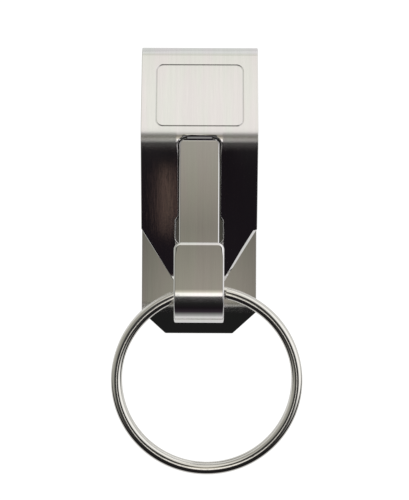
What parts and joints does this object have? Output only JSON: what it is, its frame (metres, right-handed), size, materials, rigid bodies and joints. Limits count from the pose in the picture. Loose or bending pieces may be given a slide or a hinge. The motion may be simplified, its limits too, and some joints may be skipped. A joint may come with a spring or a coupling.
{
  "type": "belt key clip",
  "caption": "Slip-on spring steel belt clip with a gated hook and a split ring for keys.",
  "frame": {"origin": "on the rear leg's back face, at the middle of its flat length and width", "axes": "+Y up the leg towards the fold, +Z out of the front, +X to the right seen from the front"},
  "size_m": [0.038, 0.0851, 0.0125],
  "materials": {
    "spring_steel": "nickel plated, brushed along the strip",
    "ring_wire": "polished nickel plate"
  },
  "bodies": {
    "rear": {"rear_leg": "spring_steel"},
    "front": {"top_fold": "spring_steel", "front_panel": "spring_steel", "belt_plate": "spring_steel", "ring_hook": "spring_steel"},
    "tongue": {"gate_tongue": "spring_steel"},
    "ring": {"split_ring": "ring_wire"}
  },
  "joints": [
    {"name": "belt_opening", "type": "hinge", "parent": "rear", "child": "front", "pos_m": [0, 0.0241, 0.00035], "axis": [-1, 0, 0], "range_deg": [0, 7], "stiffness_Nm_per_rad": 0.6, "springref_deg": -6.88},
    {"name": "tongue_press", "type": "hinge", "parent": "front", "child": "tongue", "pos_m": [0, 0.00772, 0.00855], "axis": [1, 0, 0], "range_deg": [0, 10], "stiffness_Nm_per_rad": 0.03, "springref_deg": -2.86},
    {"name": "ring_swing", "type": "hinge", "parent": "front", "child": "ring", "pos_m": [0, -0.02155, 0.00359], "axis": [-1, 0, 0], "range_deg": [-11.5, 165]}
  ]
}
